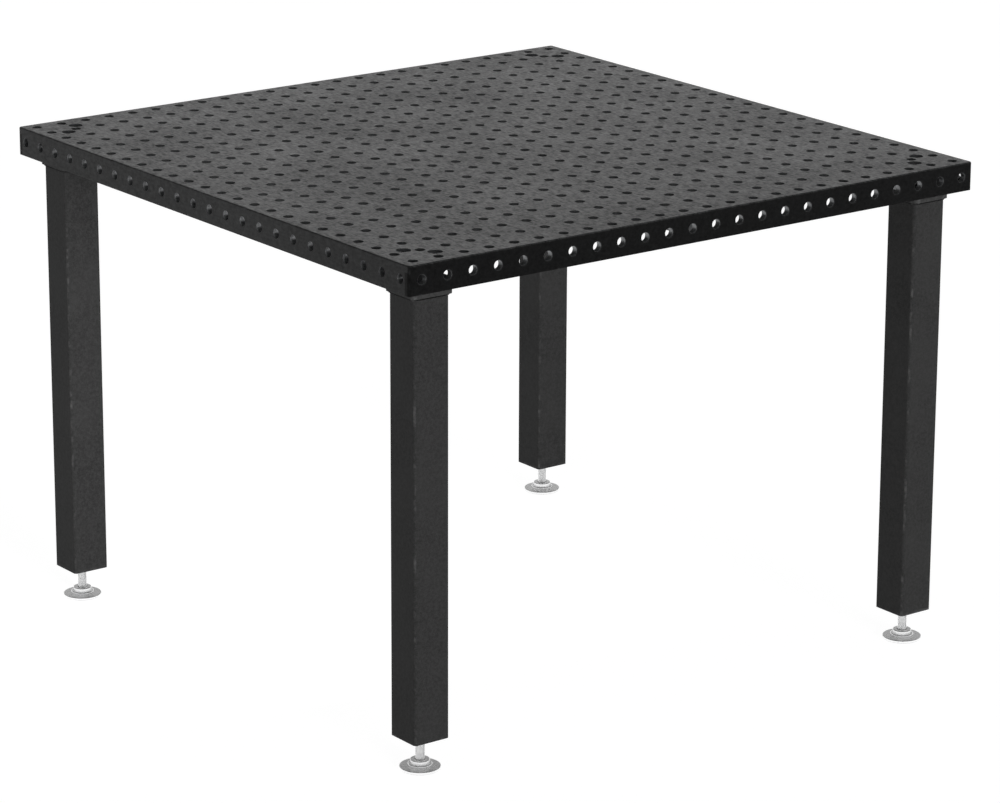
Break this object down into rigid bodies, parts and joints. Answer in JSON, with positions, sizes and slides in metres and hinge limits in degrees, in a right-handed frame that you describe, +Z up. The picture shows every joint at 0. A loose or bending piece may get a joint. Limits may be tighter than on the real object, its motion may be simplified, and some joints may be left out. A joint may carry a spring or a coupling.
{
  "type": "welding table",
  "caption": "Square perforated steel welding table with skirted top, bolted-on square tube legs and swivelling height-adjustable screw feet.",
  "frame": {"origin": "centre of the table's footprint, on the floor", "axes": "+X to the right along the front edge, +Y from the front to the back, +Z up"},
  "size_m": [1.2, 1.2, 0.88],
  "materials": {
    "plate_steel": "dark nitrided steel, ground, low sheen",
    "leg_coating": "fine-textured black powder coat",
    "screw_steel": "black oxide",
    "zinc_plating": "bright zinc plating, satin",
    "bearing_steel": "turned steel",
    "seat_plastic": "black nylon"
  },
  "bodies": {
    "table": {"top_plate": "plate_steel", "front_skirt": "plate_steel", "back_skirt": "plate_steel", "right_skirt": "plate_steel", "left_skirt": "plate_steel", "centre_rib": "plate_steel", "left_rib": "plate_steel", "right_rib": "plate_steel", "front_left_leg_screws": "screw_steel", "front_left_leg_spacers": "plate_steel", "front_left_corner_pad": "plate_steel", "front_left_head_plate": "leg_coating", "front_left_head_weld": "leg_coating", "front_left_leg_tube": "leg_coating", "front_left_base_plate": "leg_coating", "front_right_leg_screws": "screw_steel", "front_right_leg_spacers": "plate_steel", "front_right_corner_pad": "plate_steel", "front_right_head_plate": "leg_coating", "front_right_head_weld": "leg_coating", "front_right_leg_tube": "leg_coating", "front_right_base_plate": "leg_coating", "back_right_leg_screws": "screw_steel", "back_right_leg_spacers": "plate_steel", "back_right_corner_pad": "plate_steel", "back_right_head_plate": "leg_coating", "back_right_head_weld": "leg_coating", "back_right_leg_tube": "leg_coating", "back_right_base_plate": "leg_coating", "back_left_leg_screws": "screw_steel", "back_left_leg_spacers": "plate_steel", "back_left_corner_pad": "plate_steel", "back_left_head_plate": "leg_coating", "back_left_head_weld": "leg_coating", "back_left_leg_tube": "leg_coating", "back_left_base_plate": "leg_coating"},
    "front_left_ball_end": {"front_left_ball": "bearing_steel"},
    "front_left_thread": {"front_left_spindle": "zinc_plating"},
    "front_left_seat": {"front_left_ball_seat": "seat_plastic"},
    "front_left_foot": {"front_left_foot_disc": "zinc_plating", "front_left_hub_ring": "zinc_plating"},
    "front_right_ball_end": {"front_right_ball": "bearing_steel"},
    "front_right_thread": {"front_right_spindle": "zinc_plating"},
    "front_right_seat": {"front_right_ball_seat": "seat_plastic"},
    "front_right_foot": {"front_right_foot_disc": "zinc_plating", "front_right_hub_ring": "zinc_plating"},
    "back_right_ball_end": {"back_right_ball": "bearing_steel"},
    "back_right_thread": {"back_right_spindle": "zinc_plating"},
    "back_right_seat": {"back_right_ball_seat": "seat_plastic"},
    "back_right_foot": {"back_right_foot_disc": "zinc_plating", "back_right_hub_ring": "zinc_plating"},
    "back_left_ball_end": {"back_left_ball": "bearing_steel"},
    "back_left_thread": {"back_left_spindle": "zinc_plating"},
    "back_left_seat": {"back_left_ball_seat": "seat_plastic"},
    "back_left_foot": {"back_left_foot_disc": "zinc_plating", "back_left_hub_ring": "zinc_plating"}
  },
  "joints": [
    {"name": "front_left_height", "type": "slide", "parent": "table", "child": "front_left_ball_end", "axis": [0, 0, 1], "range_m": [-0.02, 0.03]},
    {"name": "front_left_turn", "type": "hinge", "parent": "front_left_ball_end", "child": "front_left_thread", "pos_m": [-0.5325, -0.5325, 0.0105], "axis": [0, 0, 1], "range_deg": [-3600, 5400]},
    {"name": "front_left_tilt_x", "type": "hinge", "parent": "front_left_ball_end", "child": "front_left_seat", "pos_m": [-0.5325, -0.5325, 0.0105], "axis": [1, 0, 0], "range_deg": [-5, 5]},
    {"name": "front_left_tilt_y", "type": "hinge", "parent": "front_left_seat", "child": "front_left_foot", "pos_m": [-0.5325, -0.5325, 0.0105], "axis": [0, 1, 0], "range_deg": [-5, 5]},
    {"name": "front_right_height", "type": "slide", "parent": "table", "child": "front_right_ball_end", "axis": [0, 0, 1], "range_m": [-0.02, 0.03]},
    {"name": "front_right_turn", "type": "hinge", "parent": "front_right_ball_end", "child": "front_right_thread", "pos_m": [0.5325, -0.5325, 0.0105], "axis": [0, 0, 1], "range_deg": [-3600, 5400]},
    {"name": "front_right_tilt_x", "type": "hinge", "parent": "front_right_ball_end", "child": "front_right_seat", "pos_m": [0.5325, -0.5325, 0.0105], "axis": [1, 0, 0], "range_deg": [-5, 5]},
    {"name": "front_right_tilt_y", "type": "hinge", "parent": "front_right_seat", "child": "front_right_foot", "pos_m": [0.5325, -0.5325, 0.0105], "axis": [0, 1, 0], "range_deg": [-5, 5]},
    {"name": "back_right_height", "type": "slide", "parent": "table", "child": "back_right_ball_end", "axis": [0, 0, 1], "range_m": [-0.02, 0.03]},
    {"name": "back_right_turn", "type": "hinge", "parent": "back_right_ball_end", "child": "back_right_thread", "pos_m": [0.5325, 0.5325, 0.0105], "axis": [0, 0, 1], "range_deg": [-3600, 5400]},
    {"name": "back_right_tilt_x", "type": "hinge", "parent": "back_right_ball_end", "child": "back_right_seat", "pos_m": [0.5325, 0.5325, 0.0105], "axis": [1, 0, 0], "range_deg": [-5, 5]},
    {"name": "back_right_tilt_y", "type": "hinge", "parent": "back_right_seat", "child": "back_right_foot", "pos_m": [0.5325, 0.5325, 0.0105], "axis": [0, 1, 0], "range_deg": [-5, 5]},
    {"name": "back_left_height", "type": "slide", "parent": "table", "child": "back_left_ball_end", "axis": [0, 0, 1], "range_m": [-0.02, 0.03]},
    {"name": "back_left_turn", "type": "hinge", "parent": "back_left_ball_end", "child": "back_left_thread", "pos_m": [-0.5325, 0.5325, 0.0105], "axis": [0, 0, 1], "range_deg": [-3600, 5400]},
    {"name": "back_left_tilt_x", "type": "hinge", "parent": "back_left_ball_end", "child": "back_left_seat", "pos_m": [-0.5325, 0.5325, 0.0105], "axis": [1, 0, 0], "range_deg": [-5, 5]},
    {"name": "back_left_tilt_y", "type": "hinge", "parent": "back_left_seat", "child": "back_left_foot", "pos_m": [-0.5325, 0.5325, 0.0105], "axis": [0, 1, 0], "range_deg": [-5, 5]}
  ],
  "couplings": [
    {"joint": "front_left_turn", "follows": "front_left_height", "rad_per_m": 3141.6},
    {"joint": "front_right_turn", "follows": "front_right_height", "rad_per_m": 3141.6},
    {"joint": "back_right_turn", "follows": "back_right_height", "rad_per_m": 3141.6},
    {"joint": "back_left_turn", "follows": "back_left_height", "rad_per_m": 3141.6}
  ]
}
